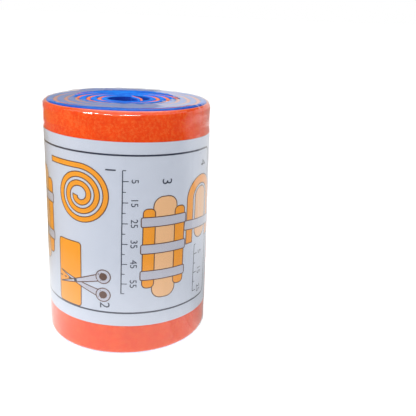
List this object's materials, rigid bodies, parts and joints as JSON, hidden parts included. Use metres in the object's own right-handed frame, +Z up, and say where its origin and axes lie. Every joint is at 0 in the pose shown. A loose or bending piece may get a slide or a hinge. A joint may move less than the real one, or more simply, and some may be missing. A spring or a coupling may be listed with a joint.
{
  "type": "rolled foam splint in shrink film",
  "caption": "Flat two-layer foam splint wound into a spiral roll, blue inside and orange outside, with a paper label under clear shrink film, standing on its end.",
  "frame": {"origin": "middle of the base that the roll stands on, under the middle of its outline", "axes": "+Z up along the roll, -Y towards the side that the picture shows"},
  "size_m": [0.0734, 0.0756, 0.1095],
  "materials": {
    "blue_foam": "matt closed-cell foam",
    "orange_foam": "matt closed-cell foam",
    "label_paper": "coated paper with printed line drawings",
    "clear_film": "clear shrink film"
  },
  "bodies": {
    "root": {"blue_foam": "blue_foam", "orange_foam": "orange_foam", "instruction_label": "label_paper", "shrink_film": "clear_film"}
  },
  "joints": []
}
